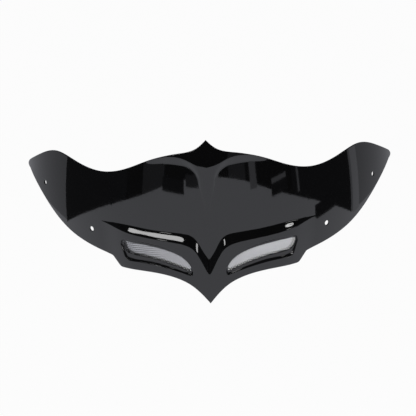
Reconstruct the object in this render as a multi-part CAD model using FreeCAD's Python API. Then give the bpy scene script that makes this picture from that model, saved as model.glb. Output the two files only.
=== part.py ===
import FreeCAD, Part
import os
from math import cos, floor, hypot, pi, radians, sin

os.makedirs("parts", exist_ok=True)

# Formed sheet: rolled about an upright axis, leaning back, crowned in its height.
SHEET_THICKNESS = 3.5
WRAP_RADIUS = 420.0
RAKE_ANGLE = 15.0
CROWN_RADIUS = 900.0
CROWN_HEIGHT = 190.0

# Top edge, in the flat sheet: reach from the middle, height above the lower point.
PEAK_HEIGHT = 333.5
PEAK_FOOT_REACH = 20.0
PEAK_FOOT_DROP = 16.5
SHOULDER_REACH = 62.0
SHOULDER_DROP = 26.5
VALLEY_REACH = 218.0
VALLEY_HEIGHT = 264.5
LOBE_REACH = 356.0
LOBE_RISE = 26.0
TIP_REACH = 503.0
TIP_HEIGHT = 239.0
TIP_DEPTH = 15.0

# Lower edge, with a stepped notch on each side.
CHIN_REACH = 40.0
CHIN_HEIGHT = 41.8
SKIRT_REACH = 100.0
SKIRT_HEIGHT = 63.9
NOTCH_REACH = 185.5
NOTCH_HEIGHT = 71.0
NOTCH_WIDTH = 18.5
NOTCH_RISE = 21.5
NOTCH_ROUND = 4.0
WING_ROOT_RISE = 5.5
WING_REACH = 320.0
WING_HEIGHT = 130.7
WING_END_REACH = 420.0
WING_END_HEIGHT = 194.2

# Lower panel, raised in front of the main panel by a sloped step with a V in the middle.
SHELF_RISE = 9.0
SHELF_RUN = 12.0
SHELF_FULL_REACH = 150.0
SHELF_END_REACH = 226.0
SHELF_END_HEIGHT = 164.0
SHELF_OUTER_REACH = 165.0
SHELF_OUTER_HEIGHT = 156.5
SHELF_REACH = 105.0
SHELF_HEIGHT = 146.5
SHELF_BEND_REACH = 40.0
SHELF_BEND_HEIGHT = 136.0
VEE_REACH = 14.0
VEE_HEIGHT = 107.0
VEE_TOP_HEIGHT = 95.0
VEE_FOOT_HEIGHT = 62.0
KEEL_RISE = 3.0
KEEL_REACH = 45.0

# Brow above the two upper fields, running down into a ridged nose stem.
BROW_RISE = 8.0
BROW_RUN = 13.0
BROW_FULL_REACH = 70.0
BROW_END_REACH = 127.0
BROW_END_DROP = 45.0
BROW_REACH = 72.0
BROW_DROP = 38.5
BROW_BEND_REACH = 26.5
BROW_BEND_DROP = 50.5
BROW_VEE_DROP = 61.5
STEM_REACH = 11.0
STEM_DROP = 103.5
STEM_END_DROP = 180.0

# Vent pocket in each side of the lower panel.
VENT_POINT_REACH = 34.0
VENT_POINT_HEIGHT = 62.0
VENT_LENGTH = 137.0
VENT_FOOT_RISE = 33.5
VENT_FOOT_BOW = 15.0
VENT_HEAD_BOW = 1.5
VENT_POINT_BOW = 8.0
VENT_END_LEAN = 13.0
VENT_END_WIDTH = 34.0
VENT_CORNER = 12.0
POCKET_DEPTH = 4.0
POCKET_DRAFT = 1.5
POCKET_WALL = 2.6
OPENING_INSET = 6.0
OPENING_SHIFT = 2.0

# Expanded-metal guard bonded behind the pocket flange.
GUARD_THICKNESS = 1.2
GUARD_GLUE = 0.25
GUARD_INSET = 1.5
GUARD_MARGIN = 1.6
GUARD_LONG_PITCH = 10.4
GUARD_SHORT_PITCH = 5.2
GUARD_STRAND = 1.3

# Four screw holes, two on each wing.
HOLE_DIAMETER = 10.0
INNER_HOLE_REACH = 253.5
INNER_HOLE_HEIGHT = 142.5
OUTER_HOLE_REACH = 400.0
OUTER_HOLE_HEIGHT = 217.0

SHOULDER_HEIGHT = PEAK_HEIGHT - SHOULDER_DROP
LOBE_HEIGHT = VALLEY_HEIGHT + LOBE_RISE
TILT = radians(RAKE_ANGLE)
MARGIN = 12.0
COLUMN_PITCH = 19.0
ROW_PITCH = 60.0
LOOP_PARTS = 9


def ramp(x):
    """Half a cosine wave from 0 at x = 0 to 1 at x = 1."""
    return 0.5 - 0.5 * cos(pi * min(max(x, 0.0), 1.0))


def flush(reach):
    """Rise of the main panel: none."""
    return 0.0


def shelf_taper(reach):
    """Share of the step that is left at a reach."""
    return ramp((SHELF_END_REACH - reach) / (SHELF_END_REACH - SHELF_FULL_REACH))


def shelf_rise(reach):
    """Rise of the lower panel, with its keel."""
    return SHELF_RISE * shelf_taper(reach) + KEEL_RISE * max(0.0, 1.0 - reach / KEEL_REACH) ** 2


def brow_taper(reach):
    """Share of the brow step that is left at a reach."""
    return ramp((BROW_END_REACH - reach) / (BROW_END_REACH - BROW_FULL_REACH))


def brow_rise(reach):
    """Rise of the brow."""
    return BROW_RISE * brow_taper(reach)


def formed(reach, height, rise):
    """Point of the rolled, crowned and raked sheet, raised from its main panel."""
    turn = reach / WRAP_RADIUS
    out = WRAP_RADIUS + rise - (height - CROWN_HEIGHT) ** 2 / (2.0 * CROWN_RADIUS)
    back = WRAP_RADIUS - out * cos(turn)
    return FreeCAD.Vector(
        out * sin(turn),
        back * cos(TILT) + height * sin(TILT),
        height * cos(TILT) - back * sin(TILT),
    )


def normal(reach, height):
    """Direction square to the main panel, pointing forward."""
    along = formed(reach + 0.5, height, 0.0) - formed(reach - 0.5, height, 0.0)
    up = formed(reach, height + 0.5, 0.0) - formed(reach, height - 0.5, 0.0)
    return along.cross(up).normalize()


def steps(start, end, pitch, least=1):
    """Even steps no longer than the pitch, from the start to the end."""
    count = max(least, int(floor((end - start) / pitch)) + 1)
    return [start + (end - start) * k / count for k in range(count + 1)]


def skin(rise, depth, reaches, heights, pitch=COLUMN_PITCH):
    """Surface at a depth behind a raised panel, whose parameters are reach and height."""
    columns = [reaches[0]]
    for start, end in zip(reaches[:-1], reaches[1:]):
        columns += steps(start, end, pitch)[1:]
    rows = steps(heights[0], heights[1], ROW_PITCH, 3)
    strips = []
    for height in rows:
        strip = Part.BSplineCurve()
        spots = [formed(reach, height, rise(reach) - depth) for reach in columns]
        strip.interpolate(Points=spots, Parameters=columns)
        strips.append(strip)
    ribs = []
    for poles in zip(*[strip.getPoles() for strip in strips]):
        rib = Part.BSplineCurve()
        rib.interpolate(Points=list(poles), Parameters=rows)
        ribs.append(rib)
    surface = Part.BSplineSurface()
    surface.buildFromPolesMultsKnots(
        [rib.getPoles() for rib in ribs],
        strips[0].getMultiplicities(), ribs[0].getMultiplicities(),
        strips[0].getKnots(), ribs[0].getKnots(),
        False, False, 3, 3,
    )
    return surface


def flat_curve(points, closed=False):
    """Curve in the flat sheet through a few points."""
    curve = Part.Geom2d.BSplineCurve2d()
    spots = [FreeCAD.Base.Vector2d(reach, height) for reach, height in points]
    curve.interpolate(Points=spots, PeriodicFlag=closed)
    return curve


def split_curve(points, index):
    """The two lengths of one smooth curve, before and after one of its points."""
    first = flat_curve(points)
    last = flat_curve(points)
    knots = first.getKnots()
    first.segment(knots[0], knots[index])
    last.segment(knots[index], knots[-1])
    return [first, last]


def flat_line(start, end):
    """Straight line in the flat sheet."""
    return Part.Geom2d.Line2dSegment(FreeCAD.Base.Vector2d(*start), FreeCAD.Base.Vector2d(*end))


def toward(start, end, length):
    """Point at a length from the start on the way to the end."""
    share = length / hypot(end[0] - start[0], end[1] - start[1])
    return (start[0] + share * (end[0] - start[0]), start[1] + share * (end[1] - start[1]))


def rounded(before, point, after, length):
    """Three points of a rounded corner."""
    first = toward(point, before, length)
    last = toward(point, after, length)
    middle = tuple(0.5 * point[k] + 0.25 * (first[k] + last[k]) for k in (0, 1))
    return [first, middle, last]


def beside(points, taper, offset):
    """Points moved square to a smooth curve, less where a taper falls, without its two ends."""
    curve = flat_curve(points)
    knots = curve.getKnots()
    between = [0.5 * (a + b) for a, b in zip(knots[1:-1], knots[2:])]
    moved = []
    for place in sorted(knots[1:-1] + between):
        spot = curve.value(place)
        along = curve.tangent(place)
        shift = offset * taper(spot.x)
        moved.append((spot.x - shift * along.y, spot.y + shift * along.x))
    return moved


def vent_rim():
    """Points round a vent: bowed foot, leaning end and a brow that falls to the inner point."""
    point = (VENT_POINT_REACH, VENT_POINT_HEIGHT)
    foot = (VENT_POINT_REACH + VENT_LENGTH, VENT_POINT_HEIGHT + VENT_FOOT_RISE)
    head = (foot[0] + VENT_END_LEAN, foot[1] + VENT_END_WIDTH)
    foot_bow = (0.5 * (point[0] + foot[0]), 0.5 * (point[1] + foot[1]) + VENT_FOOT_BOW)
    head_bow = (0.5 * (point[0] + head[0]), head[1] + VENT_HEAD_BOW)
    point_bow = (point[0] + VENT_POINT_BOW, point[1] + 1.5 * VENT_END_WIDTH)
    sides = [[point, foot_bow, foot], [foot, head], [head, head_bow, point_bow, point]]
    runs = []
    for side in sides:
        span = hypot(side[-1][0] - side[0][0], side[-1][1] - side[0][1])
        ends = VENT_CORNER / span
        count = max(2, int(span / 14.0))
        runs.append([bezier(side, ends + (1.0 - 2.0 * ends) * k / count) for k in range(count + 1)])
    loop = []
    for run, side, after in zip(runs, sides, runs[1:] + runs[:1]):
        bend = tuple(0.5 * side[-1][k] + 0.25 * (run[-1][k] + after[0][k]) for k in (0, 1))
        loop += run + [bend]
    return loop


def bezier(points, t):
    """Point on the Bezier curve of two, three or four points."""
    while len(points) > 1:
        points = [
            tuple((1.0 - t) * a[k] + t * b[k] for k in (0, 1))
            for a, b in zip(points[:-1], points[1:])
        ]
    return points[0]


def offset_loop(points, inset, shift=0.0):
    """Closed loop moved inward from an anticlockwise one, square to it all round, and moved up."""
    curve = flat_curve(points, True)
    last = curve.LastParameter
    places = [last * k / 216.0 for k in range(216)]
    ring = [curve.value(place) for place in places]
    moved = []
    for place in places[::6]:
        spot = curve.value(place)
        along = curve.tangent(place)
        x = spot.x - inset * along.y
        y = spot.y + inset * along.x
        if min(hypot(x - other.x, y - other.y) for other in ring) >= 0.98 * abs(inset):
            moved.append((x, y + shift))
    return moved


def holds(loop, spot):
    """Whether a closed ring of points goes round a spot."""
    inside = False
    for k in range(len(loop)):
        (ax, ay), (bx, by) = loop[k - 1], loop[k]
        if (ay > spot[1]) != (by > spot[1]):
            inside ^= spot[0] < ax + (bx - ax) * (spot[1] - ay) / (by - ay)
    return inside


def diamonds(limit):
    """Corners of the staggered diamond gaps that lie inside a limit."""
    long_half = GUARD_LONG_PITCH / 2.0
    short_half = GUARD_SHORT_PITCH / 2.0
    shrink = 1.0 - 0.5 * GUARD_STRAND * hypot(long_half, short_half) / (long_half * short_half)
    long_gap = shrink * long_half
    short_gap = shrink * short_half
    reaches = [reach for reach, height in limit]
    heights = [height for reach, height in limit]
    found = []
    for row in range(int((max(heights) - min(heights)) / short_half) + 1):
        for column in range(int((max(reaches) - min(reaches)) / GUARD_LONG_PITCH) + 1):
            x = min(reaches) + GUARD_LONG_PITCH * column + long_half * (row % 2)
            y = min(heights) + short_half * row
            gap = [(x + long_gap, y), (x, y + short_gap), (x - long_gap, y), (x, y - short_gap)]
            if all(holds(limit, spot) for spot in gap):
                found.append(gap)
    return found


def loop_edges(points, surface):
    """Edges on a surface along the lengths of a smooth closed loop through a ring of points."""
    edges = []
    for part in range(LOOP_PARTS):
        length = flat_curve(points, True)
        knots = length.getKnots()
        ends = [round((len(knots) - 1) * k / LOOP_PARTS) for k in (part, part + 1)]
        length.segment(knots[ends[0]], knots[ends[1]])
        edges.append(length.toShape(surface))
    return edges


def on_skin(surface, curves):
    """Edges of flat curves laid on a surface."""
    return [curve.toShape(surface) for curve in curves]


def trimmed(surface, edges, gaps=()):
    """Face of a surface inside a ring of edges and outside gaps, all given anticlockwise."""
    sheet = surface.toShape()
    rings = [Part.Wire(edges)] + [Part.Wire(gap).reversed() for gap in gaps]
    kept, rest = Part.makeSplitShape(sheet, [(ring, sheet) for ring in rings])
    return kept[0]


def ruled(first, second):
    """Straight-ruled faces between two rows of edges."""
    return [Part.makeRuledSurface(a, b) for a, b in zip(first, second)]


def straight_ring(points, surface):
    """Straight edges round a closed ring of points on a surface."""
    pairs = zip(points, points[1:] + points[:1])
    return on_skin(surface, [flat_line(start, end) for start, end in pairs])


def closed_solid(faces):
    """Solid inside a closed set of faces."""
    shell = Part.Compound(faces).copy()
    shell.sewShape(0.02)
    solid = Part.makeSolid(shell.Shells[0])
    if solid.Volume < 0:
        solid.reverse()
    return solid


# Flat curves of the right half, each panel's ring taken anticlockwise from the middle.
peak = (0.0, PEAK_HEIGHT)
brow_end = (BROW_END_REACH, PEAK_HEIGHT - BROW_END_DROP)
tip_top = (TIP_REACH - TIP_DEPTH, TIP_HEIGHT + 0.8 * TIP_DEPTH)
tip_foot = (TIP_REACH - TIP_DEPTH, TIP_HEIGHT - 0.45 * TIP_DEPTH)
shelf_end = (SHELF_END_REACH, SHELF_END_HEIGHT)
notch_inner = (NOTCH_REACH, NOTCH_HEIGHT)
notch_outer = (NOTCH_REACH + NOTCH_WIDTH, NOTCH_HEIGHT + NOTCH_RISE)
wing_root = (SHELF_END_REACH, notch_outer[1] + WING_ROOT_RISE)
skirt = (SKIRT_REACH, SKIRT_HEIGHT)
outer_round = rounded(wing_root, notch_outer, notch_inner, NOTCH_ROUND)
inner_round = rounded(notch_outer, notch_inner, skirt, NOTCH_ROUND)

top_main, top_brow = split_curve([
    tip_top,
    (0.5 * (LOBE_REACH + tip_top[0]), 0.6 * LOBE_HEIGHT + 0.4 * tip_top[1]),
    (LOBE_REACH, LOBE_HEIGHT),
    (0.5 * (VALLEY_REACH + LOBE_REACH), 0.55 * VALLEY_HEIGHT + 0.45 * LOBE_HEIGHT),
    (VALLEY_REACH, VALLEY_HEIGHT),
    (0.5 * (VALLEY_REACH + BROW_END_REACH), 0.3 * brow_end[1] + 0.7 * VALLEY_HEIGHT),
    brow_end,
    (SHOULDER_REACH, SHOULDER_HEIGHT),
    (PEAK_FOOT_REACH, PEAK_HEIGHT - PEAK_FOOT_DROP),
    peak,
], 6)
tip = flat_curve([tip_foot, (TIP_REACH, TIP_HEIGHT), tip_top])
wing_inner, wing_outer = split_curve([
    outer_round[0],
    wing_root,
    (WING_REACH, WING_HEIGHT),
    (WING_END_REACH, WING_END_HEIGHT),
    tip_foot,
], 1)
skirt_edge = flat_curve([
    (0.0, 0.0),
    (CHIN_REACH, CHIN_HEIGHT),
    skirt,
    (0.5 * (NOTCH_REACH + SKIRT_REACH), 0.6 * NOTCH_HEIGHT + 0.4 * SKIRT_HEIGHT),
    inner_round[2],
])
notch_curves = [
    flat_curve(inner_round[::-1]),
    flat_line(inner_round[0], outer_round[2]),
    flat_curve(outer_round[::-1]),
]

shelf_line = [
    (0.0, 0.5 * (VEE_TOP_HEIGHT + VEE_FOOT_HEIGHT)),
    (VEE_REACH, VEE_HEIGHT),
    (SHELF_BEND_REACH, SHELF_BEND_HEIGHT),
    (SHELF_REACH, SHELF_HEIGHT),
    (SHELF_OUTER_REACH, SHELF_OUTER_HEIGHT),
    shelf_end,
]
shelf_top = flat_curve(
    [(0.0, VEE_TOP_HEIGHT)] + beside(shelf_line, shelf_taper, 0.5 * SHELF_RUN) + [shelf_end])
shelf_foot = flat_curve(
    [(0.0, VEE_FOOT_HEIGHT)] + beside(shelf_line, shelf_taper, -0.5 * SHELF_RUN) + [shelf_end])
brow_vee = (0.0, PEAK_HEIGHT - BROW_VEE_DROP)
stem_end = (0.0, PEAK_HEIGHT - STEM_END_DROP)
stem_side = (STEM_REACH, PEAK_HEIGHT - STEM_DROP)
brow_line = [
    stem_side,
    (BROW_BEND_REACH, PEAK_HEIGHT - BROW_BEND_DROP),
    (BROW_REACH, PEAK_HEIGHT - BROW_DROP),
    brow_end,
]
brow_top = flat_curve([brow_vee] + beside(brow_line, brow_taper, 0.5 * BROW_RUN) + [brow_end])
stem_edge, brow_foot = split_curve(
    [stem_end, stem_side] + beside(brow_line, brow_taper, -0.5 * BROW_RUN) + [brow_end], 1)

# Vent loops, right side.
rim = offset_loop(vent_rim(), 0.0)
back_rim = offset_loop(rim, -POCKET_WALL)
opening = offset_loop(rim, OPENING_INSET, OPENING_SHIFT)
floor_loop = offset_loop(rim, POCKET_DRAFT)
back_floor_loop = offset_loop(rim, POCKET_DRAFT - POCKET_WALL)
vent_end = VENT_POINT_REACH + VENT_LENGTH + VENT_END_LEAN
vent_top = VENT_POINT_HEIGHT + VENT_FOOT_RISE + VENT_END_WIDTH
vent_reaches = (VENT_POINT_REACH - MARGIN, vent_end + MARGIN)
vent_heights = (VENT_POINT_HEIGHT - MARGIN, vent_top + MARGIN)

main_reaches = (-MARGIN, 0.0, BROW_END_REACH, SHELF_END_REACH, TIP_REACH + MARGIN)
panel_reaches = (-MARGIN, 0.0, KEEL_REACH, SHELF_FULL_REACH, SHELF_END_REACH, SHELF_END_REACH + MARGIN)
crest_reaches = (-MARGIN, 0.0, BROW_FULL_REACH, BROW_END_REACH, BROW_END_REACH + MARGIN)
faces = []
sides = []
for depth in (0.0, SHEET_THICKNESS):
    main = skin(flush, depth, main_reaches, (0.0, PEAK_HEIGHT), 3.0 * COLUMN_PITCH)
    panel = skin(shelf_rise, depth, panel_reaches, (-MARGIN, SHELF_END_HEIGHT + MARGIN))
    crest = skin(brow_rise, depth, crest_reaches, (brow_vee[1] - MARGIN, PEAK_HEIGHT + MARGIN))
    root_line = flat_line(wing_root, shelf_end)
    vent_edges = loop_edges(rim if depth == 0.0 else back_rim, panel)
    shelf_edges = on_skin(panel, [skirt_edge] + notch_curves + [wing_inner, root_line, shelf_foot])
    panel_ring = shelf_edges + on_skin(panel, [flat_line((0.0, VEE_FOOT_HEIGHT), (0.0, 0.0))])
    main_edges = on_skin(main, [shelf_top, root_line, wing_outer, tip, top_main, brow_foot, stem_edge])
    main_ring = main_edges + on_skin(main, [flat_line(stem_end, (0.0, VEE_TOP_HEIGHT))])
    crest_edges = on_skin(crest, [brow_top, top_brow])
    crest_ring = crest_edges + on_skin(crest, [flat_line(peak, brow_vee)])
    ridge = Part.BSplineCurve()
    drops = [k / 4.0 for k in range(5)]
    ridge.interpolate([
        formed(0.0, stem_end[1] + share * (brow_vee[1] - stem_end[1]), share * BROW_RISE - depth)
        for share in drops
    ])
    faces.append(trimmed(panel, panel_ring, [vent_edges]))
    faces.append(trimmed(main, main_ring))
    faces.append(trimmed(crest, crest_ring))
    faces.append(Part.makeRuledSurface(main_edges[0], shelf_edges[6]))
    faces.append(Part.makeRuledSurface(main_edges[5], crest_edges[0]))
    faces.append(Part.makeRuledSurface(main_edges[6], ridge.toShape()))
    sides.append((shelf_edges[0:5] + main_edges[2:5] + crest_edges[1:2], vent_edges))
faces += ruled(sides[0][0], sides[1][0])

pocket_floor = skin(shelf_rise, POCKET_DEPTH, vent_reaches, vent_heights)
flange = skin(shelf_rise, POCKET_DEPTH + SHEET_THICKNESS, vent_reaches, vent_heights)
floor_edges = loop_edges(floor_loop, pocket_floor)
back_floor_edges = loop_edges(back_floor_loop, flange)
opening_edges = loop_edges(opening, pocket_floor)
back_opening_edges = loop_edges(opening, flange)
faces.append(trimmed(pocket_floor, floor_edges, [opening_edges]))
faces.append(trimmed(flange, back_floor_edges, [back_opening_edges]))
faces += ruled(sides[0][1], floor_edges)
faces += ruled(sides[1][1], back_floor_edges)
faces += ruled(opening_edges, back_opening_edges)

centre = FreeCAD.Vector(0, 0, 0)
side_on = FreeCAD.Vector(1, 0, 0)
windshield = closed_solid(faces + [face.mirror(centre, side_on) for face in faces])
for reach, height in (
    (INNER_HOLE_REACH, INNER_HOLE_HEIGHT),
    (OUTER_HOLE_REACH, OUTER_HOLE_HEIGHT),
):
    for side in (-1, 1):
        axis = normal(side * reach, height)
        start = formed(side * reach, height, 0.0) + axis * SHEET_THICKNESS
        drill = Part.makeCylinder(HOLE_DIAMETER / 2.0, 3.0 * SHEET_THICKNESS, start, axis * -1)
        windshield = windshield.cut(drill)
windshield = windshield.Solids[0]

guard_depth = POCKET_DEPTH + SHEET_THICKNESS + GUARD_GLUE
guard_loop = offset_loop(rim, GUARD_INSET)
gaps = diamonds(offset_loop(rim, GUARD_INSET + GUARD_MARGIN))
guard_faces = []
gap_rings = []
for depth in (guard_depth, guard_depth + GUARD_THICKNESS):
    surface = skin(shelf_rise, depth, vent_reaches, vent_heights)
    edges = loop_edges(guard_loop, surface)
    rings = [straight_ring(gap, surface) for gap in gaps]
    guard_faces.append(trimmed(surface, edges, rings))
    gap_rings.append(edges + sum(rings, []))
guard_faces += ruled(*gap_rings)
right_vent_mesh = closed_solid(guard_faces)
left_vent_mesh = right_vent_mesh.mirror(centre, side_on)

box = windshield.optimalBoundingBox(False)
floor_centre = FreeCAD.Vector(box.Center.x, box.Center.y, box.ZMin)
for name, solid in (
    ("windshield", windshield),
    ("left_vent_mesh", left_vent_mesh),
    ("right_vent_mesh", right_vent_mesh),
):
    placed = solid.translated(floor_centre * -1)
    placed.exportStep("parts/" + name + ".step")
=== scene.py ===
# %% [markdown]
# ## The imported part
# The part is a motorcycle windshield: one sheet of gloss black acrylic, formed over a mould, with two
# recessed vents guarded by expanded metal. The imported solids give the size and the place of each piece.
# They could be dressed as they are, but their panels meet in sharp folds, and the real sheet has rounded
# ones. So all three solids are replaced by smooth surfaces on nearly the same lines.

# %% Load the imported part
import bpy
import numpy as np
from mathutils import Matrix


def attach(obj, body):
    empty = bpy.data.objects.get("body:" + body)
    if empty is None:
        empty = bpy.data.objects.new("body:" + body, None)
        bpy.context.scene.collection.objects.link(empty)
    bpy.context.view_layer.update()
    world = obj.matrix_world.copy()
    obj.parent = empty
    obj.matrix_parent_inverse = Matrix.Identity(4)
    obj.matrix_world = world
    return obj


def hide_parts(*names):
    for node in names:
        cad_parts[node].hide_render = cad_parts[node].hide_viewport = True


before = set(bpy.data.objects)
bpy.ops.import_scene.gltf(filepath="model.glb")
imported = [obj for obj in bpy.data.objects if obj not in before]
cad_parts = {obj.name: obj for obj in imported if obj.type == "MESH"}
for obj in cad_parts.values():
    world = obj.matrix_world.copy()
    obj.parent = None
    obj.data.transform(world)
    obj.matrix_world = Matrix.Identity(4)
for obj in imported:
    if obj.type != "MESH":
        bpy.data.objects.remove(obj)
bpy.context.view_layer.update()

# %% [markdown]
# ## The form of the sheet
# A maker bends the hot sheet round an upright drum and lets it lean back. Its flat pattern is measured by
# reach, the distance from the middle, and height above the lower point. One formula rolls that pattern up,
# so every line below can be drawn flat, as on the pattern, and lands on the sheet by itself.

# %% Rolled, crowned and raked form
MM = 0.001
SHEET, WRAP, CROWN, CROWN_HEIGHT = 3.5, 420.0, 900.0, 190.0
RAKE = np.radians(15.0)
GROUND = np.array([0.0, 164.76786, -2.9908])
PEAK, TIP = 333.5, (503.0, 239.0)


def formed(reach, height, rise):
    """Rolled point in metres: radius R = wrap + rise - (height - crown height)^2 / 2 crown radius, turned
    by reach / wrap about the upright axis, then leaned back by the rake and set down on the ground."""
    turn = reach / WRAP
    out = WRAP + rise - (height - CROWN_HEIGHT) ** 2 / (2.0 * CROWN)
    back = WRAP - out * np.cos(turn)
    across = out * np.sin(turn)
    deep = back * np.cos(RAKE) + height * np.sin(RAKE)
    high = height * np.cos(RAKE) - back * np.sin(RAKE)
    return (np.stack([across, deep, high], axis=-1) - GROUND) * MM


print("flat tip", TIP, "mm, rolled", np.round(formed(*TIP, 0.0), 4).tolist(), "m")

# %% [markdown]
# ## Smooth lines
# A maker draws a long curve by bending a thin batten through a few marks. A Bezier curve object could do
# that, but its points would need handles. A natural cubic bends much as a batten does, and numpy solves it.

# %% A batten through a few marks
def smooth_line(points, count=600):
    """Natural cubic through a few flat points by chord length: in a span of length h at share f it is
    (1-f) p0 + f p1 + h^2/6 (((1-f)^3 - (1-f)) m0 + (f^3 - f) m1), the bends m from one linear system."""
    p = np.asarray(points, float)
    h = np.hypot(*np.diff(p, axis=0).T)
    t = np.r_[0.0, np.cumsum(h)]
    k = np.arange(1, len(p) - 1)
    system = np.eye(len(p))
    system[k, k - 1], system[k, k], system[k, k + 1] = h[:-1], 2.0 * (h[:-1] + h[1:]), h[1:]
    pull = np.zeros_like(p)
    pull[k] = 6.0 * np.diff(np.diff(p, axis=0) / h[:, None], axis=0)
    m = np.linalg.solve(system, pull)
    u = np.linspace(0.0, t[-1], count)
    i = np.clip(np.searchsorted(t, u, side="right") - 1, 0, len(p) - 2)
    f = ((u - t[i]) / h[i])[:, None]
    bend = ((1 - f) ** 3 - (1 - f)) * m[i] + (f ** 3 - f) * m[i + 1]
    return (1 - f) * p[i] + f * p[i + 1] + (h[i] ** 2 / 6.0)[:, None] * bend


def height_at(line, side):
    """Height of a line that runs outward, at a reach."""
    order = np.argsort(line[:, 0])
    return np.interp(side, line[order, 0], line[order, 1])


SHELF_END, BROW_END = (226.0, 164.0), (127.0, PEAK - 45.0)
shelf_top = smooth_line([
    (0, 95), (10.8, 112), (21.5, 132), (31, 141.5), (48, 146), (105.5, 151.5), (167, 159.2), SHELF_END])
shelf_foot = smooth_line([
    (0, 62), (7.4, 79), (16.7, 99), (29, 117), (43, 126), (68.5, 132.5), (110, 138.5), (150, 145.3),
    (189, 155), SHELF_END])
brow_top = smooth_line([
    (0, 279), (12, 281.5), (21.5, 286), (39, 295.5), (60, 301), (91, 299), BROW_END])
brow_foot = smooth_line([
    (0, 172), (6, 207), (11, 231), (14.6, 252), (20.6, 269), (31.5, 279.5), (54, 286), (84, 288.3),
    (118, 287), BROW_END])
print("step lines end at", SHELF_END, "and", BROW_END)

# %% [markdown]
# ## Raised panels
# The lower panel, with the vents, stands 9 mm in front of the main one behind a sloped step that runs
# down to a V in the middle. The brow at the top stands 8 mm proud and falls into a ridged stem. They
# could be separate pieces with bevels, but on the real sheet they are one skin. So they are one relief:
# each step is a straight slope with rounded ends between two lines, fading out towards the wings.

# %% Relief of the steps
SHELF_RISE, SHELF_FULL, SHELF_SOFT = 9.0, 150.0, 0.12
BROW_RISE, BROW_FULL, BROW_SOFT = 8.0, 70.0, 0.06
KEEL_RISE, KEEL_REACH, CREASE = 3.0, 45.0, 2.0
LEAST_STEP = 1.0


def ramp(x):
    """Half a cosine wave, 0 at x = 0 and 1 at x = 1."""
    return 0.5 - 0.5 * np.cos(np.pi * np.clip(x, 0.0, 1.0))


def taper(side, end, full):
    """Share of a step that is left at a reach: all of it up to full, none from its end."""
    return ramp((end[0] - side) / (end[0] - full))


def step(x, soft):
    """Straight slope from 0 to 1 with rounded ends: half of
    sqrt(x^2 + soft^2) - sqrt((x - 1)^2 + soft^2) + 1."""
    return 0.5 * (np.sqrt(x ** 2 + soft ** 2) - np.sqrt((x - 1.0) ** 2 + soft ** 2) + 1.0)


def panel_rise(side):
    """Rise of the lower panel: its step times the taper, and a keel that falls off by a square."""
    keel = np.clip(1.0 - side / KEEL_REACH, 0.0, 1.0) ** 2
    return SHELF_RISE * taper(side, SHELF_END, SHELF_FULL) + KEEL_RISE * keel


def relief(reach, height):
    """Rise of the sheet: each panel's rise times the rounded slope of the share of its step that is passed.
    The crease rounds off the middle: side = sqrt(reach^2 + crease^2) - crease."""
    side = np.sqrt(reach ** 2 + CREASE ** 2) - CREASE
    top, foot = height_at(shelf_top, side), height_at(shelf_foot, side)
    shelf = step((top - height) / np.maximum(top - foot, LEAST_STEP), SHELF_SOFT)
    low, high = height_at(brow_foot, side), height_at(brow_top, side)
    brow = step((height - low) / np.maximum(high - low, LEAST_STEP), BROW_SOFT)
    return panel_rise(side) * shelf + BROW_RISE * taper(side, BROW_END, BROW_FULL) * brow


marks = np.array([(0.0, 40.0), (100.0, 100.0), (200.0, 100.0)])
print("rise of the lower panel at", marks.tolist(), "is", np.round(relief(*marks.T), 2).tolist())

# %% [markdown]
# ## Outline
# The edge is sawn and polished after forming: a peak, two shoulders, raised wing lobes, rounded tips, a
# stepped notch each side and a lower point. Each half is a few smooth curves through the points that a
# maker would mark out. The sheet's grid keeps 1.1 mm inside it, and the rounded edge takes up the rest.

# %% Edge lines of the right half
EDGE, STEEPEST, TIP_START = 1.1, 1.6, 488.0
tip_top, tip_foot = (TIP_START, 251.0), (TIP_START, 232.25)
top_edge = smooth_line([
    (0, PEAK), (20, PEAK - 16.5), (62, PEAK - 26.5), BROW_END, (172.5, 271.7), (218, 264.5), (287, 276.2),
    (356, 290.5), (422, 274.7), tip_top,
], 1200)
skirt = smooth_line([(0, 0), (40, 41.8), (100, 63.9), (142.75, 68.2), (181.5, 70.7)])
notch = np.array([(184.9, 71.5), (188.1, 74.0), (201.4, 89.5), (204.3, 92.3), (207.8, 93.4)])
wing = smooth_line([(207.8, 93.4), (226, 98), (320, 130.7), (420, 194.2), tip_foot])
low_edge = np.vstack([skirt, notch, wing[1:]])
tip = smooth_line([tip_foot, TIP, tip_top], 200)


def inset_height(line, side, inset):
    """Height of an edge line moved down by an inset square to it, or up by one below 0: inset times the root
    of 1 + slope^2."""
    slope = np.gradient(line[:, 1], line[:, 0])
    steep = np.interp(side, line[:, 0], np.minimum(np.abs(slope), STEEPEST))
    return np.interp(side, line[:, 0], line[:, 1]) - inset * np.sqrt(1.0 + steep ** 2)


print("edge points", len(top_edge) + len(low_edge) + len(tip))

# %% [markdown]
# ## Grid of the sheet
# The sheet could be cut out of a plain grid with a Boolean, but that leaves slivers which show in gloss.
# Here the grid's columns run from the lower edge to the top edge, so its rim is the outline, and its rows
# follow the lines of the steps, so the folds lie along the faces.

# %% Columns and rows
SHELF_HOLD, BROW_HOLD = 200.0, 80.0
CROWDS = {
    "end": lambda t: np.sin(0.5 * np.pi * t),
    "both": ramp,
    "start": lambda t: 1.0 - np.cos(0.5 * np.pi * t),
}
# Rows in each run, from the lower edge up, and the end of the run that they crowd to.
RUNS = ((46, "end"), (14, "both"), (34, "both"), (16, "both"), (10, "start"))
half = np.unique(np.r_[np.arange(0, 50, 2.0), np.arange(50, 176, 4.0), np.arange(176, 215, 2.0),
                       np.arange(215, TIP_START, 4.2), TIP_START])
columns = np.r_[-half[:0:-1], half]


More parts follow.
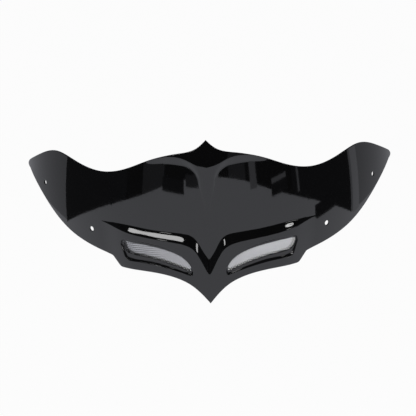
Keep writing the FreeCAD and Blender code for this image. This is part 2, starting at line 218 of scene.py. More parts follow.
def line_shares(lines, hold, side, low, high):
    """Shares of the way up at which lines run; beyond the hold they keep the share that they have there."""
    held = np.minimum(side, hold)
    bottom, top = np.interp(held, side, low), np.interp(held, side, high)
    return [(height_at(line, held) - bottom) / (top - bottom) for line in lines]


def row_shares(side, low, high):
    """Shares of the way up of each column's rows: five runs between the edges and the four step lines. Half
    of a row's place in its run is even, and half is a quarter or half wave that crowds it to the steps."""
    keys = [np.zeros_like(side)]
    keys += line_shares((shelf_foot, shelf_top), SHELF_HOLD, side, low, high)
    keys += line_shares((brow_foot, brow_top), BROW_HOLD, side, low, high)
    keys += [np.ones_like(side)]
    rows = [np.zeros((len(side), 1))]
    for first, last, (count, crowd) in zip(keys[:-1], keys[1:], RUNS):
        t = np.arange(1, count + 1) / count
        rows.append(first[:, None] + 0.5 * (t + CROWDS[crowd](t)) * (last - first)[:, None])
    return np.hstack(rows)


low, high = inset_height(low_edge, half, -EDGE), inset_height(top_edge, half, EDGE)
rise_of_rows = low[:, None] + row_shares(half, low, high) * (high - low)[:, None]
flat = np.empty((len(columns), rise_of_rows.shape[1], 2))
flat[..., 0] = columns[:, None]
flat[..., 1] = np.vstack([rise_of_rows[:0:-1], rise_of_rows])
print("columns and rows", flat.shape[:2])

# %% [markdown]
# ## Rounded tips
# The wings end in rounded tips, where columns would shrink to nothing. A fan of triangles would pinch the
# gloss, so each tip is a four-sided patch, blended between the last column and three parts of its curve.

# %% Patches at the tips
TIP_CENTRE, TIP_RADIUS, TIP_CORNER, TIP_COLUMNS = np.array([489.5, 241.0]), 14.0, 0.3, 6


def tip_patch(inner):
    """Patch between the last column and the tip curve: the sum of the two straight blends across and up,
    less the blend of the four corners."""
    round_tip = tip + EDGE * (TIP_CENTRE - tip) / TIP_RADIUS
    round_tip[0], round_tip[-1] = inner[0], inner[-1]
    rows = (inner[:, 1] - inner[0, 1]) / (inner[-1, 1] - inner[0, 1])
    across = np.linspace(0.0, 1.0, TIP_COLUMNS + 1)
    u, v = across[:, None, None], rows[None, :, None]

    def along(share):
        numbers = np.arange(len(round_tip))
        place = share * numbers[-1]
        return np.stack([np.interp(place, numbers, round_tip[:, c]) for c in (0, 1)], axis=-1)

    foot, head = along(TIP_CORNER * across)[:, None], along(1.0 - TIP_CORNER * across)[:, None]
    outer = along(TIP_CORNER + (1.0 - 2.0 * TIP_CORNER) * rows)[None]
    corners = ((1 - u) * (1 - v) * inner[0] + (1 - u) * v * inner[-1]
               + u * (1 - v) * outer[0, 0] + u * v * outer[0, -1])
    return ((1 - u) * inner[None] + u * outer + (1 - v) * foot + v * head - corners)[1:]


cap = tip_patch(flat[-1])
mirrored = cap[::-1] * np.array([-1.0, 1.0])
flat = np.concatenate([mirrored, flat, cap])
print("whole grid", flat.shape[:2])

# %% [markdown]
# ## Leaf-shaped vents
# Each vent is a leaf-shaped pocket, pressed into the panel, with a smaller leaf cut out of its floor. The
# leaf could be one closed Bezier curve, but a maker files its three corners round. So three plain sides
# stop short of the corners, and a smooth closed line runs through them and round each bend.

# %% Rim and opening of a vent
MOST_CORNER, MARK_GAP = 0.36, 14.0


def bezier(points, t):
    """Bezier curve, by repeated straight blends of its points."""
    p = [np.asarray(q, float)[None] for q in points]
    while len(p) > 1:
        p = [(1 - t) * a + t * b for a, b in zip(p[:-1], p[1:])]
    return p[0]


def closed_spline(points, count=900):
    """Smooth closed line through a ring of points: the ring is run three times and the middle is kept."""
    line = smooth_line(np.vstack([points, points, points, points[:1]]), 3 * count + 1)
    return line[count:2 * count]


def leaf(point, belly, foot, head, brow, fall, corner=12.0):
    """Leaf with rounded corners: a bowed foot side, a leaning end, and a brow that falls to the inner point.
    A bend passes halfway between its corner and the middle of the two sides' ends."""
    sides = [[point, belly, foot], [foot, head], [head, brow, fall, point]]
    runs = []
    for side in sides:
        span = np.hypot(side[-1][0] - side[0][0], side[-1][1] - side[0][1])
        ends = min(MOST_CORNER, corner / span)
        count = max(3, int(span / MARK_GAP) + 1)
        runs.append(bezier(side, np.linspace(ends, 1.0 - ends, count)[:, None]))
    bends = [0.5 * np.array(side[-1]) + 0.25 * (run[-1] + following[0])
             for run, side, following in zip(runs, sides, runs[1:] + runs[:1])]
    return closed_spline(np.vstack([np.vstack([run, bend]) for run, bend in zip(runs, bends)]))


rim = leaf((30.5, 58.0), (98.0, 88.0), (170.5, 88.0), (184.0, 131.0), (118.0, 134.0), (37.0, 121.0))
opening = leaf((33.0, 65.0), (95.0, 98.5), (169.5, 101.5), (182.0, 128.0), (122.0, 123.0), (38.0, 117.0),
               corner=17.0)
print("rim spans", np.round([rim.min(0), rim.max(0)], 1).tolist(), "opening points", len(opening))

# %% [markdown]
# ## Places round a vent
# The edges of a pocket run side by side, as a cutter follows a template. Scaled copies of the rim would
# leave a border that is too wide at the ends of the leaf. So the rim is moved square to itself, and the
# points of two lines are matched by their direction from the vent's centre.

# %% Moved rims and directions
VENT_CENTRE, STRETCH = np.array([108.0, 100.0]), np.array([1.0, 2.2])
NEAR_SHARE, NEAR_SLACK = 0.98, 0.05


def moved_in(ring, inset):
    """Ring moved inward, square to itself; points that come nearer to it than the inset are left out."""
    along = np.roll(ring, -1, axis=0) - np.roll(ring, 1, axis=0)
    along /= np.linalg.norm(along, axis=1)[:, None]
    moved = ring + inset * np.stack([-along[:, 1], along[:, 0]], axis=1)
    near = np.min(np.linalg.norm(moved[:, None] - ring[None, ::3], axis=2), axis=1)
    return moved[near >= NEAR_SHARE * abs(inset) - NEAR_SLACK]


def from_centre(spots):
    """Places from the vent's centre, with heights stretched so that the leaf is nearly round."""
    return (spots - VENT_CENTRE) * STRETCH


def angle_of(spots):
    """Angle of places round the vent's centre."""
    away = from_centre(spots)
    return np.arctan2(away[:, 1], away[:, 0])


def at_angle(ring, angle):
    """Points of a ring in the directions of some angles round the vent's centre."""
    own = angle_of(ring)
    order = np.argsort(own)
    return np.stack([np.interp(angle, own[order], ring[order, c], period=2 * np.pi) for c in (0, 1)], axis=-1)


print("the rim moved in by 3 mm spans", np.round(np.ptp(moved_in(rim, 3.0), axis=0), 1).tolist())

# %% [markdown]
# ## Lines carried through the sheet
# A pocket could be cut with a Boolean, but its cut faces would spoil the gloss. Instead closed lines run
# round the vent and are carried inward and back: from a box of the grid to the rim, over the rounded lip,
# down the wall, through the opening, and out again on the back. So the sheet stays one closed skin.

# %% Closed lines round a vent
RINGS, RIM_END, WALL_SHARE, WALL_REACH, POCKET = 16, 0.5, 0.42, 3.7, 4.0
PRESSED, SAWN = 0.3, 1.0
# Insets from the rim, and with a second number the depth there, in mm.
LIP_START, WALL_TOP, BACK_START, BACK_FOOT = -1.4, 0.3, -3.4, -0.4
LIP = ((-0.7, 0.08), (-0.1, 0.3))
BACK_WALL = ((-1.1, 7.25), (-1.7, 6.4), (-2.3, 4.6), (-2.8, 3.75))
# Shares of the way from one line to the next, and with a second number the depth there, in mm.
WALL = ((0.0, 0.6), (0.5, 2.3), (0.8, 3.35), (0.92, 3.8))
POCKET_FLOOR = (0.0, 0.33, 0.66, 0.93)
MOUTH = ((-0.02, 4.1), (0.0, 4.45), (0.0, 7.1), (-0.03, 7.42))
FLANGE = (0.1, 0.5, 1.0)


def rim_angle(side):
    """Angle on the rim for each place of a grid box: the box's foot goes to the rim's foot and its top to the
    brow, at reaches in proportion, and places between them go in proportion too."""
    reaches, column = np.unique(np.round(side[:, 0], 3), return_inverse=True)
    low, high = np.full(len(reaches), np.inf), np.full(len(reaches), -np.inf)
    np.minimum.at(low, column, side[:, 1])
    np.maximum.at(high, column, side[:, 1])
    share = (side[:, 1] - low[column]) / (high - low)[column]
    ends = [rim[:, 0].min() + RIM_END, rim[:, 0].max() - RIM_END]
    x = np.interp(side[:, 0], reaches[[0, -1]], ends)
    turned = np.roll(rim, -np.argmin(rim[:, 0]), axis=0)
    last = np.argmax(turned[:, 0])
    foot_line, brow_line = turned[:last + 1], turned[last:][::-1]
    y = (1.0 - share) * np.interp(x, *foot_line.T) + share * np.interp(x, *brow_line.T)
    return angle_of(np.stack([x, y], axis=-1))


def vent_lines(start, sign):
    """Lines from a grid box round a vent to its back: ring, lip, wall, floor, mouth, flange, back wall, ring.
    Each is a line, its depth behind the panel and how far it is worked. The wall's foot lies on the way to
    the opening, at a share of it or at the wall's reach, whichever is less."""
    side = start * np.array([sign, 1.0])
    angle = rim_angle(side)

    def ring(inset):
        return at_angle(moved_in(rim, inset), angle)

    gap, lip, top = at_angle(opening, angle), ring(LIP_START), ring(WALL_TOP)
    back_foot, back_lip = ring(BACK_FOOT), ring(BACK_START)
    far = np.linalg.norm(gap - top, axis=1)[:, None]
    foot = top + (gap - top) * np.minimum(WALL_SHARE, WALL_REACH / far)
    spread = np.linspace(0.0, 1.0, RINGS + 1)
    lines = [(side + (lip - side) * f, 0.0, 0.0) for f in spread[1:]]
    lines += [(ring(inset), depth, PRESSED) for inset, depth in LIP]
    lines += [(top + (foot - top) * f, depth, PRESSED) for f, depth in WALL]
    lines += [(foot + (gap - foot) * f, POCKET, 0.0) for f in POCKET_FLOOR]
    lines += [(gap + (gap - foot) * f, depth, SAWN) for f, depth in MOUTH]
    lines += [(gap + (back_foot - gap) * f, POCKET + SHEET, 0.0) for f in FLANGE]
    lines += [(ring(inset), depth, 0.0) for inset, depth in BACK_WALL]
    lines += [(back_lip + (side - back_lip) * f, SHEET, 0.0) for f in spread[:-1]]
    return [(line * np.array([sign, 1.0]), depth, mark) for line, depth, mark in lines]


print("a vent has", 2 * RINGS + sum(map(len, (LIP, WALL, POCKET_FLOOR, MOUTH, FLANGE, BACK_WALL))), "lines")

# %% [markdown]
# ## Screw holes
# Four holes are drilled through the wings, with their edges broken by a countersink so that the acrylic
# doesn't crack. A hole is carried through like a vent, and its back mirrors its front.

# %% Closed lines round a screw hole
HOLE, HOLE_PLACES = 5.0, ((253.5, 142.5), (400.0, 217.0))
HOLE_RINGS = (0.3, 0.65)
# How much wider than the hole, how deep, and how far worked.
BEVEL = ((0.6, 0.0, 0.0), (0.2, 0.1, 0.5), (0.0, 0.4, SAWN))


def and_back(lines):
    """Lines of the front, followed by the same ones on the back in reverse."""
    return lines + [(line, SHEET - depth, mark) for line, depth, mark in lines[::-1]]


def hole_lines(start, centre):
    """Lines from a grid box round a screw hole to its back: ring, small bevel and wall."""
    angle = np.arctan2(start[:, 1] - centre[1], start[:, 0] - centre[0])
    spoke = np.stack([np.cos(angle), np.sin(angle)], axis=-1)
    mouth = centre + (HOLE + BEVEL[0][0]) * spoke
    lines = [(start + (mouth - start) * f, 0.0, 0.0) for f in HOLE_RINGS]
    lines += [(centre + (HOLE + wider) * spoke, depth, mark) for wider, depth, mark in BEVEL]
    return and_back(lines)


print("a screw hole has", 2 * len(HOLE_RINGS + BEVEL), "lines")

# %% [markdown]
# ## Sewing the sheet
# The real sheet is one solid. A modifier could thicken its front, but the offset would fold over in the
# tight bends of the pockets. Here front and back are the same grid, 3.5 mm apart. The boxes round the vents
# and holes are left out of both, and strips of four-sided faces carry the lines through.

# %% Vents and holes in the grid
FAR, VENT_ENDS, VENT_ROWS, HOLE_BOX = 999.0, (20.0, 199.0), (4, 42), 12.0
NI, NJ = flat.shape[:2]
front = np.arange(NI * NJ).reshape(NI, NJ)
keep = np.ones((NI - 1, NJ - 1), bool)
tables = [(flat.reshape(-1, 2), 0.0, 0.0), (flat.reshape(-1, 2), SHEET, 0.0)]
strips = []


def box_ring(i0, i1, j0, j1):
    """Grid places round a box, anticlockwise."""
    across, up = np.arange(i0, i1), np.arange(j0, j1)
    return np.vstack([
        np.stack([across, np.full_like(across, j0)], 1), np.stack([np.full_like(up, i1), up], 1),
        np.stack([np.arange(i1, i0, -1), np.full_like(across, j1)], 1),
        np.stack([np.full_like(up, i0), np.arange(j1, j0, -1)], 1),
    ])


def open_box(across, rows):
    """Leaves a box of the grid open, from the first to the last of its columns and rows; gives its ring."""
    keep[across[0]:across[-1], rows[0]:rows[-1]] = False
    return box_ring(across[0], across[-1], rows[0], rows[-1])


def strip_faces(rows):
    """Four-sided faces between closed rows of vertex numbers."""
    following = np.roll(rows, -1, axis=1)
    return np.stack([rows[:-1], following[:-1], following[1:], rows[1:]], axis=-1).reshape(-1, 4)


def add_lines(ring, lines):
    """Stores carried lines and the strip of faces that joins them to the front and back grids."""
    first = front[ring[:, 0], ring[:, 1]]
    stored = sum(len(spots) for spots, depth, mark in tables)
    numbers = stored + np.arange(len(lines) * len(ring)).reshape(-1, len(ring))
    tables.extend(lines)
    strips.append(strip_faces(np.vstack([first, numbers, first + NI * NJ])))


reaches = np.r_[np.full(len(cap), -FAR), columns, np.full(len(cap), FAR)]
for sign in (1.0, -1.0):
    inside = np.flatnonzero((sign * reaches > VENT_ENDS[0]) & (sign * reaches < VENT_ENDS[1]))
    ring = open_box(inside, VENT_ROWS)
    add_lines(ring, vent_lines(flat[ring[:, 0], ring[:, 1]], sign))
    for reach, height in HOLE_PLACES:
        inside = np.flatnonzero(np.abs(reaches - sign * reach) < HOLE_BOX)
        rows = np.flatnonzero(np.abs(flat[inside[len(inside) // 2], :, 1] - height) < HOLE_BOX)
        ring = open_box(inside, rows)
        add_lines(ring, hole_lines(flat[ring[:, 0], ring[:, 1]], np.array([sign * reach, height])))
print("strips", len(strips), "open grid faces", int((~keep).sum()))

# %% [markdown]
# ## The rounded edge
# The sawn edge is eased by hand with a file and paper. A bevel modifier would round the steps as well, so
# the edge is a half-round strip along the rim, each point moved out square to the two edges beside it.

# %% Half-round strip and all the faces
# How far out from the grid's rim, how deep, and how far worked.
EASED = ((0.55, 0.1, 0.3), (0.92, 0.42, 0.8), (EDGE, 1.05, SAWN))
LEAST_MITRE = 0.45
rim_ring = box_ring(0, NI - 1, 0, NJ - 1)
edge = flat[rim_ring[:, 0], rim_ring[:, 1]]
ahead, behind = np.roll(edge, -1, axis=0) - edge, edge - np.roll(edge, 1, axis=0)
ahead, behind = (v / np.linalg.norm(v, axis=1)[:, None] for v in (ahead, behind))
square = np.stack([ahead[:, 1] + behind[:, 1], -ahead[:, 0] - behind[:, 0]], axis=1)
square /= np.linalg.norm(square, axis=1)[:, None]
mitre = 1.0 / np.maximum((square * np.stack([ahead[:, 1], -ahead[:, 0]], axis=1)).sum(1), LEAST_MITRE)
add_lines(rim_ring, and_back([
    (edge + (out * mitre)[:, None] * square, depth, mark) for out, depth, mark in EASED]))
strips[-1] = strips[-1][:, ::-1]

spots = np.vstack([line for line, depth, mark in tables])
depths = np.concatenate([np.full(len(line), depth) for line, depth, mark in tables])
worked = np.concatenate([np.full(len(line), mark) for line, depth, mark in tables])
quads = np.stack([front[:-1, :-1], front[1:, :-1], front[1:, 1:], front[:-1, 1:]], axis=-1)[keep]
faces = np.vstack([quads, quads[:, ::-1] + NI * NJ] + strips)
print("sheet:", len(spots), "points,", len(faces), "faces")

# %% [markdown]
# ## The sheet as a mesh
# Polished acrylic shows every facet as a kink in its reflections. A finer grid would hide them at a cost
# in triangles. Instead each point of the front and back gets the normal of the true surface, from two
# small steps along it, and the worked edges are marked for the finish.

# %% Put the sheet into a mesh
NUDGE = 0.25


def make_piece(name, points, faces, smooth=True):
    """Mesh object from arrays of points and four-sided faces; points on no face are left out."""
    used = np.zeros(len(points), bool)
    used[faces] = True
    number = np.cumsum(used) - 1
    mesh = bpy.data.meshes.new(name)
    mesh.vertices.add(int(used.sum()))
    mesh.vertices.foreach_set("co", points[used].astype(np.float32).ravel())
    mesh.loops.add(faces.size)
    mesh.loops.foreach_set("vertex_index", number[faces].astype(np.int32).ravel())
    mesh.polygons.add(len(faces))
    mesh.polygons.foreach_set("loop_start", np.arange(0, faces.size, 4, dtype=np.int32))
    mesh.polygons.foreach_set("use_smooth", np.full(len(faces), smooth))
    mesh.update(calc_edges=True)
    mesh.validate()
    piece = bpy.data.objects.new(name, mesh)
    bpy.context.scene.collection.objects.link(piece)
    return piece, used


def on_sheet(spots):
    """Points of the formed sheet at flat places and the depths stored for them."""
    return formed(*spots.T, relief(*spots.T) - depths)


points = on_sheet(spots)
sheet, used = make_piece("formed_sheet", points, faces)
across = on_sheet(spots + np.array([NUDGE, 0.0])) - points
upward = on_sheet(spots + np.array([0.0, NUDGE])) - points
level = np.cross(across, upward)
level /= np.linalg.norm(level, axis=1)[:, None]
level *= np.where(depths == 0.0, 1.0, np.where(depths == SHEET, -1.0, 0.0))[:, None]
sheet.data.normals_split_custom_set_from_vertices(level[used].tolist())
mark = sheet.data.attributes.new("worked_edge", "FLOAT", "POINT")
mark.data.foreach_set("value", worked[used].astype(np.float32))
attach(sheet, "root")
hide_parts("windshield")
print("formed_sheet", len(sheet.data.vertices), "points")

# %% [markdown]
# ## Expanded-metal guards
# The guards are slit and stretched aluminium: upright diamonds that share their strands, each strand
# tilted, so it glints on one side. Both are cut from one sheet, so they tilt the same way, and one looks
# brighter than the other. A flat plate with a pattern would not be see-through. Diamonds tile the plane,
# so each cell is a diamond ring of sixteen faces.

# %% Diamond cells behind the vent openings
LONG, SHORT, STRAND, THICK = 8.0, 5.0, 1.25, 0.3
GUARD_INSET, GUARD_DEPTH, GUARD_TILT = 0.5, 9.5, 1.7
FIRST_CELL, CELLS_ACROSS, CELLS_UP = (24.0, 54.0), 42, 28


def guard_cells():
    """Centres of the diamonds that lie inside the rim less an inset: rows at half the long pitch, every other
    one moved by half the short pitch."""
    m, n = np.meshgrid(np.arange(CELLS_ACROSS), np.arange(CELLS_UP), indexing="ij")
    x = FIRST_CELL[0] + SHORT * m + 0.5 * SHORT * (n % 2)
    y = FIRST_CELL[1] + 0.5 * LONG * n
    cells = np.stack([x, y], axis=-1).reshape(-1, 2)
    edge = at_angle(moved_in(rim, GUARD_INSET), angle_of(cells))
    return cells[np.linalg.norm(from_centre(cells), axis=1) < np.linalg.norm(from_centre(edge), axis=1)]


def guard(name, node, sign):
    """Rings of diamonds: outer corners at half the pitches, inner ones shrunk by the strand and tilted to
    face the right, on a front and a back layer behind the panel."""
    cells = guard_cells()
    shrink = 1.0 - STRAND * np.hypot(LONG, SHORT) * 2.0 / (LONG * SHORT)
    corners = 0.5 * np.array([(SHORT, 0.0), (0.0, LONG), (-SHORT, 0.0), (0.0, -LONG)])
    tilt = sign * GUARD_TILT * np.array([-1.0, 0.0, 1.0, 0.0])
    layers = ((1.0, 0.0 * tilt), (shrink, tilt), (1.0, 0.0 * tilt + THICK), (shrink, tilt + THICK))
    spots = np.stack([cells[:, None] + scale * corners for scale, lean in layers], 1).reshape(-1, 2)
    depths = np.tile(np.concatenate([GUARD_DEPTH + lean for scale, lean in layers]), len(cells))
    points = formed(sign * spots[:, 0], spots[:, 1], panel_rise(spots[:, 0]) - depths)
    k, following = np.arange(4), np.roll(np.arange(4), -1)
    ring = np.vstack([np.stack([k + a, following + a, following + b, k + b], 1)
                      for a, b in ((0, 4), (4, 12), (12, 8), (8, 0))])
    first = np.arange(0, len(spots), len(layers) * len(corners))
    faces = (first[:, None, None] + ring[None]).reshape(-1, 4)
    piece = make_piece(name, points, faces if sign > 0 else faces[:, ::-1], smooth=False)[0]
    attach(piece, "root")
    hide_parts(node)
    print(name, len(cells), "cells")
    return piece


guards = [guard("right_guard", "right_vent_mesh", 1.0), guard("left_guard", "left_vent_mesh", -1.0)]

# %% [markdown]
# ## Finishes
# A finish is written as sums on sockets. One small class wraps a socket, so that plus, minus and times
# add Math nodes, and one method adds any other node.

# %% A socket that can be calculated with
class Wire:
    """One socket in a material; sums on it add Math nodes, and node() adds any other kind."""

    def __init__(self, tree, socket=None):
        self.tree, self.socket = tree, socket

    def node(self, kind, settings=None, sockets=None, out=0):
        made = self.tree.nodes.new("ShaderNode" + kind)
        for name, value in (settings or {}).items():
            setattr(made, name, value)
        for name, value in (sockets or {}).items():
            if isinstance(value, Wire):
                self.tree.links.new(value.socket, made.inputs[name])
            else:
                made.inputs[name].default_value = value
        return Wire(self.tree, made.outputs[out] if len(made.outputs) else None)

    def sum(self, operation, first, second):
        return self.node("Math", {"operation": operation}, {0: first, 1: second})

    def __add__(self, other):
        return self.sum("ADD", self, other)

    __radd__ = __add__

    def __mul__(self, other):
        return self.sum("MULTIPLY", self, other)

    __rmul__ = __mul__

    def __sub__(self, other):
        return self.sum("SUBTRACT", self, other)

    def __rsub__(self, other):
        return self.sum("SUBTRACT", other, self)


def new_finish(name):
    """Empty material and a wire to build it with."""
    material = bpy.data.materials.new(name)
    material.use_nodes = True
    material.node_tree.nodes.clear()
    return material, Wire(material.node_tree)


def blend(wire, share, first, second):
    """Colour between two, by a share: a Mix node has its colours at sockets 6 and 7, and gives one at 2."""
    return wire.node("Mix", {"data_type": "RGBA"}, {0: share, 6: first, 7: second}, out=2)


def grey_tone(value, blue=0.0):
    """Grey colour, a little bluer where asked."""
    return (value, value, value + blue, 1.0)


print("finish tools ready")

# %% [markdown]
# ## Gloss black sheet
# Cast acrylic, black all through, takes a mirror polish. Up close it has a faint orange peel from the hot
# mould, hazy swirls from wiping, and a satin sawn edge. A plain black shader would look like plastic film,
# so the haze varies the roughness and the edge is marked on the mesh.

# %% Black acrylic finish
black, wire = new_finish("black_acrylic")
place = wire.node("TexCoord", out="Object")
swirl = wire.node("TexNoise", None, {"Vector": place, "Scale": 60.0, "Detail": 6.0, "Roughness": 0.7})
cloud = wire.node("TexNoise", None, {"Vector": place, "Scale": 9.0, "Detail": 3.0})
peel = wire.node("TexNoise", None, {"Vector": place, "Scale": 160.0, "Detail": 2.0})
sawn = wire.node("Attribute", {"attribute_name": "worked_edge"}, out="Fac")
tone = blend(wire, cloud, grey_tone(0.0035, 0.0005), grey_tone(0.007, 0.001))
tone = blend(wire, sawn * 0.6, tone, grey_tone(0.03, 0.002))
haze = 0.02 + 0.05 * swirl + 0.12 * sawn
skin = wire.node("Bump", None, {"Strength": 0.03, "Distance": 0.0004, "Height": peel})
shader = wire.node("BsdfPrincipled", None, {
    "Base Color": tone, "Roughness": haze, "IOR": 1.55, "Normal": skin})
wire.node("OutputMaterial", None, {"Surface": shader})
sheet.data.materials.append(black)
print("black_acrylic", len(black.node_tree.nodes), "nodes")

# %% [markdown]
# ## Satin aluminium guard
# Rolled aluminium, stretched and left bare: bright on the crests, duller where the roller marks and a
# little oxide stay. Metal with an even roughness looks chromed, so fine grain varies tone and roughness.

# %% Aluminium finish
silver, wire = new_finish("stretched_aluminium")
place = wire.node("TexCoord", out="Object")
grain = wire.node("TexNoise", None, {"Vector": place, "Scale": 900.0, "Detail": 3.0})
dull = wire.node("TexNoise", None, {"Vector": place, "Scale": 45.0, "Detail": 4.0})
tone = blend(wire, dull, grey_tone(0.33, 0.01), grey_tone(0.54))
rolled = wire.node("Bump", None, {"Strength": 0.2, "Distance": 0.0002, "Height": grain})
shader = wire.node("BsdfPrincipled", None, {
    "Base Color": tone, "Metallic": 0.9, "Roughness": 0.14 + 0.2 * grain, "Normal": rolled})
wire.node("OutputMaterial", None, {"Surface": shader})
for piece in guards:
    piece.data.materials.append(silver)
print("stretched_aluminium", len(silver.node_tree.nodes), "nodes")

# %% [markdown]
# ## Studio cards
# A gloss black sheet shows little of its own. What is seen on it is the room, so the room is built from
# cards, as a product photographer would. A card could be a lamp, but then it would light the sheet as well.
# These keep one even tone to the camera and in reflections, and a little of their own shade.

# %% Card finishes and cards
EVEN_SHARE, COOL = 0.97, (0.97, 0.985, 1.06)
STAGE = np.array([0.0, -0.1, 0.15])


def card_finish(name, tone, glow):
    """Matt card of an even tone to camera, glossy and clear rays, a little cooler in reflections."""
    card, wire = new_finish(name)
    direct = wire.node("LightPath", out="Is Camera Ray")
    seen = wire.sum("MAXIMUM", direct, wire.node("LightPath", out="Is Glossy Ray"))
    seen = wire.sum("MAXIMUM", seen, wire.node("LightPath", out="Is Transmission Ray"))
    matt = wire.node("BsdfDiffuse", None, {"Color": grey_tone(tone)})
    tint = blend(wire, direct, tuple(glow * c for c in COOL) + (1.0,), grey_tone(glow))
    even = wire.node("Emission", None, {"Color": tint, "Strength": 1.0})
    shader = wire.node("MixShader", None, {0: seen * EVEN_SHARE, 1: matt, 2: even})
    wire.node("OutputMaterial", None, {"Surface": shader})
    return card


def standing_card(name, path, low, high, finish):
    """Card along a path on the floor, seen only in reflections: each path point is lifted to the low and the
    high edge."""
    path = np.asarray(path, float)
    low, high = np.broadcast_to(low, len(path)), np.broadcast_to(high, len(path))
    points = np.vstack([np.c_[path, low], np.c_[path, high]])
    k = np.arange(len(path) - 1)
    faces = np.stack([k, k + 1, k + 1 + len(path), k + len(path)], axis=1)
    card = make_piece(name, points, faces, smooth=False)[0]
    card.data.materials.append(finish)
    card.visible_camera = card.visible_shadow = card.visible_diffuse = False


def round_path(start, end, distance, count=41):
    """Points on the floor at one distance in front of the part, between two directions in degrees."""
    turn = np.radians(np.linspace(start, end, count))
    return np.stack([distance * np.sin(turn), STAGE[1] - distance * np.cos(turn)], axis=1)


white, dark = card_finish("white_paper", 0.86, 1.0), card_finish("dark_flag", 0.03, 0.05)
grey, pale = card_finish("grey_card", 0.4, 0.5), card_finish("pale_card", 0.7, 0.8)
dim = card_finish("dim_card", 0.1, 0.13)
print("cards", [card.name for card in (white, dark, grey, pale, dim)])

# %% [markdown]
# ## Floor, sweep and flags
# A white floor lies below and rises in front as a sweep. A bent plane could do both, but the sweep's upper
# edge draws the line on the sheet where white turns to black, so it is a card of its own, with a formula
# for that edge. Dark flags stop the white at the sides, and grey cards stand behind the tips.

# %% White floor and what borders it
FLOOR_HALF, FLOOR_LEVEL, CARD_TOP, FLAG_TOP = 9.0, -0.4, 1.2, 3.0
SEEN_LEVEL, SWEEP_TURN, SWEEP_DISTANCE, FLAG_MOST = 0.2, 59.0, 5.5, 5.6
WHITE_TOP, WHITE_BOW, WHITE_FALL, WHITE_BEND = 11.0, 0.0062, 0.38, 30.0
FLAG_START, LEFT_END, RIGHT_END, CARD_END = 50.0, 95.5, 92.5, 140.0
STRIP_START, STRIP_END, NEAR_DISTANCE, CARD_DISTANCE = 94.0, 99.0, 1.75, 1.8
SWEEP_COUNT, FLAG_COUNT, STRIP_COUNT = 61, 43, 3


def white_lift(turn):
    """Lift in degrees up to which the front is white: top - bow turn^2 to the bend, then straight down."""
    near = np.minimum(np.abs(turn), WHITE_BEND)
    return WHITE_TOP - WHITE_BOW * near ** 2 - WHITE_FALL * (np.abs(turn) - near)


def level_at(distance, lift):
    """Level of a point that is seen from the part at a lift in degrees: level + distance tan(lift)."""
    return SEEN_LEVEL + distance * np.tan(np.radians(lift))


corners = FLOOR_HALF * np.array([(-1.0, -1.0), (1.0, -1.0), (1.0, 1.0), (-1.0, 1.0)])
corners = np.c_[corners, np.full(4, FLOOR_LEVEL)]
floor = make_piece("floor", corners, np.array([[0, 1, 2, 3]]), smooth=False)[0]
floor.data.materials.append(white)
turns = np.linspace(-SWEEP_TURN, SWEEP_TURN, SWEEP_COUNT)
standing_card("front_sweep", round_path(-SWEEP_TURN, SWEEP_TURN, SWEEP_DISTANCE, SWEEP_COUNT), FLOOR_LEVEL,
              level_at(SWEEP_DISTANCE, white_lift(turns)), white)
for side, sign, last in (("left", -1.0, LEFT_END), ("right", 1.0, RIGHT_END)):
    turns = np.linspace(FLAG_START, last, FLAG_COUNT)
    reach = np.minimum((SEEN_LEVEL - FLOOR_LEVEL) / np.tan(np.radians(-white_lift(turns))), FLAG_MOST)
    way = np.stack([sign * np.sin(np.radians(turns)), -np.cos(np.radians(turns))], axis=1)
    standing_card(side + "_flag", reach[:, None] * way + STAGE[:2], FLOOR_LEVEL, FLAG_TOP, dark)
standing_card("left_card", round_path(-LEFT_END, -CARD_END, NEAR_DISTANCE), FLOOR_LEVEL, CARD_TOP, grey)
standing_card("right_card", round_path(RIGHT_END, CARD_END, CARD_DISTANCE), FLOOR_LEVEL, CARD_TOP, grey)
standing_card("right_strip", round_path(STRIP_START, STRIP_END, NEAR_DISTANCE, STRIP_COUNT), FLOOR_LEVEL,
              CARD_TOP, pale)
print("floor", floor.name, "white up to", white_lift(0.0), "degrees")

# %% [markdown]
# ## Things in the room
# A room is never bare, and plain furniture breaks the reflections on the sheet. Models of it would not be
# told apart there, so each thing is a card between two directions and two lifts. The room itself is dark
# above, and white only to the camera.

# %% Furniture cards and room
for name, start, end, distance, low, high, finish in (
    ("stool", -28.0, -15.0, 5.3, 5.0, 9.5, dark), ("crate", -14.0, -7.0, 5.2, 7.5, 11.5, dim),
    ("post", 24.5, 28.5, 5.3, 5.0, 13.5, grey), ("bench", 37.0, 47.0, 5.3, 0.5, 4.5, dark),
    ("rail", 37.5, 46.5, 5.2, 4.5, 6.0, grey), ("pole", 53.2, 54.4, 5.3, -2.0, 12.0, grey),
    ("cabinet", -40.0, -27.0, 5.6, 2.0, 22.0, dim), ("doorway", 12.0, 22.0, 5.6, 2.0, 20.0, dim),
    ("box", 65.0, 80.0, 2.55, -14.0, -9.0, dark),
):
    path = round_path(start, end, distance, 5)
    standing_card(name, path, level_at(distance, low), level_at(distance, high), finish)

world = bpy.data.worlds.new("room")
bpy.context.scene.world = world
world.use_nodes = True
world.node_tree.nodes.clear()
wire = Wire(world.node_tree)
tone = blend(wire, wire.node("LightPath", out="Is Camera Ray"), grey_tone(0.03), grey_tone(1.0))
sky = wire.node("Background", None, {"Color": tone, "Strength": 1.0})
wire.node("OutputWorld", None, {"Surface": sky})
print("room", world.name)

# %% [markdown]
# ## Lamps
# Strip lamps high on both sides draw the bright streaks along the step, and two small ones the glints on
# its bends, as in a product studio. Each is placed where the gloss throws its light to the camera.

# %% Softboxes
LAMP_DISTANCE = 2.0


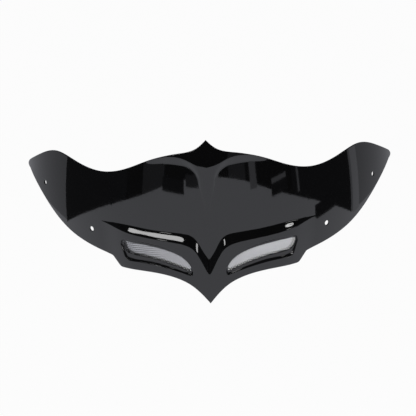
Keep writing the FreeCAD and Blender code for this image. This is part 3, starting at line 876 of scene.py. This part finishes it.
def toward(turn, lift):
    """Place of a lamp by its turn from the front and its lift, in degrees, seen from the part."""
    turn, lift = np.radians([turn, lift])
    way = np.array([np.sin(turn) * np.cos(lift), -np.cos(turn) * np.cos(lift), np.sin(lift)])
    return STAGE + LAMP_DISTANCE * way


def softbox(name, start, end, width, glow):
    """Oval lamp between two points, turned to the part; its power is pi times its area times its glow."""
    length = np.linalg.norm(end - start)
    middle, along = 0.5 * (start + end), (end - start) / length
    away = middle - STAGE
    away = away - along * (away @ along)
    away /= np.linalg.norm(away)
    lamp = bpy.data.lights.new(name, "AREA")
    lamp.shape, lamp.size, lamp.size_y = "ELLIPSE", float(length), width
    lamp.energy = np.pi * (0.25 * np.pi * lamp.size * width) * glow
    holder = bpy.data.objects.new(name, lamp)
    bpy.context.scene.collection.objects.link(holder)
    turn = np.eye(4)
    turn[:3, 0], turn[:3, 1], turn[:3, 2], turn[:3, 3] = along, np.cross(away, along), away, middle
    holder.matrix_world = Matrix(turn.tolist())
    return holder


lamps = [softbox("left_strip_lamp", toward(-70, 54.2), toward(-3, 42.2), 0.2, 9.0),
         softbox("right_strip_lamp", toward(58, 58.4), toward(75, 53.2), 0.045, 13.0),
         softbox("left_small_lamp", toward(-32, 31), toward(-24, 31), 0.2, 10.0),
         softbox("right_small_lamp", toward(46, 21), toward(58, 18), 0.2, 8.0)]
print("lamps", [lamp.name for lamp in lamps])

# %% [markdown]
# ## Camera
# The photograph looks down by 30 degrees from the front, through a long lens, turned a little. A camera
# could be aimed by a constraint, but its three directions are written out here, so its roll is exact.

# %% Camera at the photograph's angle
YAW, ROLL, LIFT = np.radians([1.449, -2.187, 30.0])
AIM, DISTANCE = np.array([0.00104, -0.124768, 0.202591]), 2.3
away = np.array([np.sin(YAW) * np.cos(LIFT), -np.cos(YAW) * np.cos(LIFT), np.sin(LIFT)])
right = np.array([np.cos(YAW), np.sin(YAW), 0.0])
up = np.cross(away, right)
turn = np.eye(4)
turn[:3, 0] = right * np.cos(ROLL) + up * np.sin(ROLL)
turn[:3, 1] = up * np.cos(ROLL) - right * np.sin(ROLL)
turn[:3, 2] = away
turn[:3, 3] = AIM + DISTANCE * away
eye = bpy.data.cameras.new("camera")
eye.lens, eye.sensor_width = 102.96, 36.0
camera = bpy.data.objects.new("camera", eye)
camera.matrix_world = Matrix(turn.tolist())
bpy.context.scene.collection.objects.link(camera)
bpy.context.scene.camera = camera
bpy.context.scene.view_settings.view_transform = "Standard"
print("camera at", np.round(turn[:3, 3], 3).tolist())
